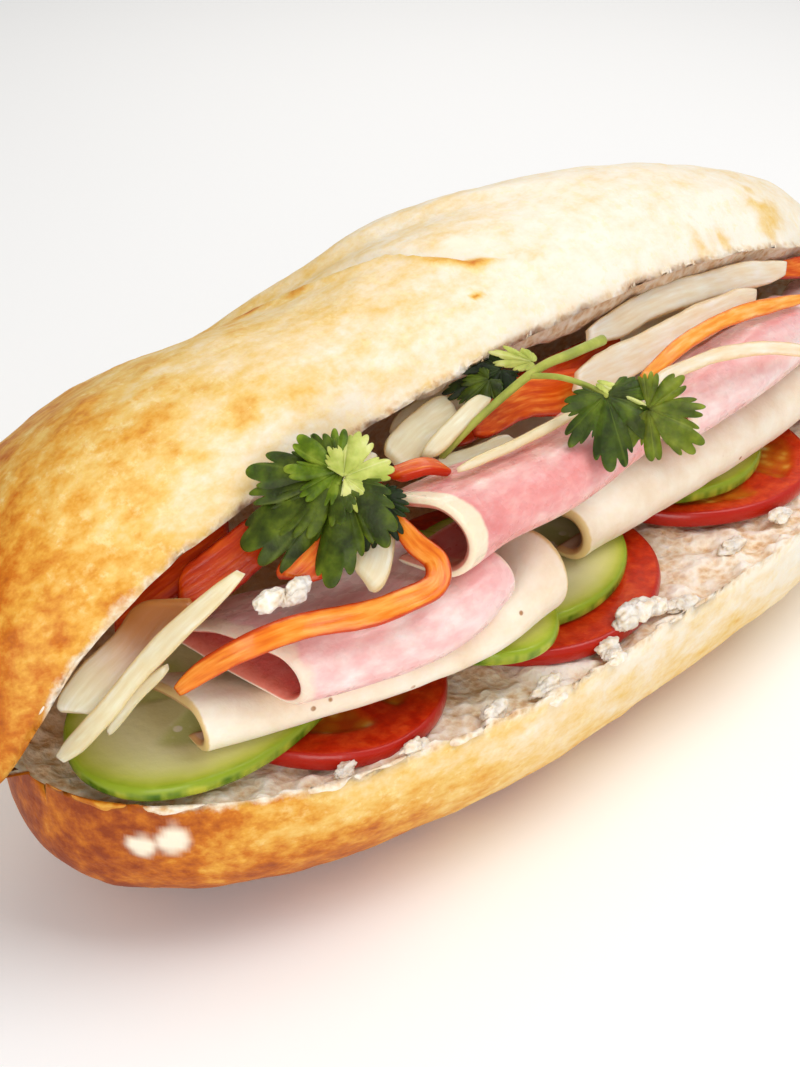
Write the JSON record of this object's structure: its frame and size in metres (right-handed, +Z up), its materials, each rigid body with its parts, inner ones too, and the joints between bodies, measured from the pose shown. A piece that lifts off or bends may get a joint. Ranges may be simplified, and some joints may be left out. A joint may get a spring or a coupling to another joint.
{
  "type": "banh mi sandwich",
  "caption": "Short crusty baguette split along its front and filled with folded ham, pork roll, tomato, cucumber, pickled carrot and daikon strips.",
  "frame": {"origin": "middle of the flat that the roll rests on", "axes": "+X along the roll towards its right-hand end as its open side is faced, -Y out of the mouth, +Z up"},
  "size_m": [0.2218, 0.0903, 0.0848],
  "materials": {
    "bread": "baked crust, golden brown with pale mottling, cream crumb on the cut faces",
    "tomato": "wet cut tomato",
    "cucumber": "wet pale green flesh in a green skin",
    "pork_roll": "smooth moist cream-white meat",
    "ham": "moist pink meat with a pale rim",
    "carrot": "wet pickled orange",
    "daikon": "wet translucent pickled white"
  },
  "bodies": {
    "root": {"bread_roll": "bread", "tomato_slice_1": "tomato", "tomato_slice_2": "tomato", "tomato_slice_3": "tomato", "tomato_slice_4": "tomato", "cucumber_slice_1": "cucumber", "cucumber_slice_2": "cucumber", "cucumber_slice_3": "cucumber", "cucumber_slice_4": "cucumber", "cucumber_slice_5": "cucumber", "pork_roll_slice_1": "pork_roll", "pork_roll_slice_2": "pork_roll", "pork_roll_slice_3": "pork_roll", "ham_slice_1": "ham", "ham_slice_2": "ham", "ham_slice_3": "ham", "ham_slice_4": "ham", "carrot_strip_1": "carrot", "carrot_strip_2": "carrot", "carrot_strip_3": "carrot", "carrot_strip_4": "carrot", "carrot_strip_5": "carrot", "carrot_strip_6": "carrot", "carrot_strip_7": "carrot", "carrot_strip_8": "carrot", "carrot_strip_9": "carrot", "carrot_strip_10": "carrot", "carrot_strip_11": "carrot", "carrot_strip_12": "carrot", "daikon_strip_1": "daikon", "daikon_strip_2": "daikon", "daikon_strip_3": "daikon", "daikon_strip_4": "daikon", "daikon_strip_5": "daikon", "daikon_strip_6": "daikon", "daikon_strip_7": "daikon", "daikon_strip_8": "daikon", "daikon_strip_9": "daikon", "daikon_strip_10": "daikon", "daikon_strip_11": "daikon", "daikon_strip_12": "daikon", "daikon_strip_13": "daikon", "daikon_strip_14": "daikon", "daikon_strip_15": "daikon"}
  },
  "joints": []
}
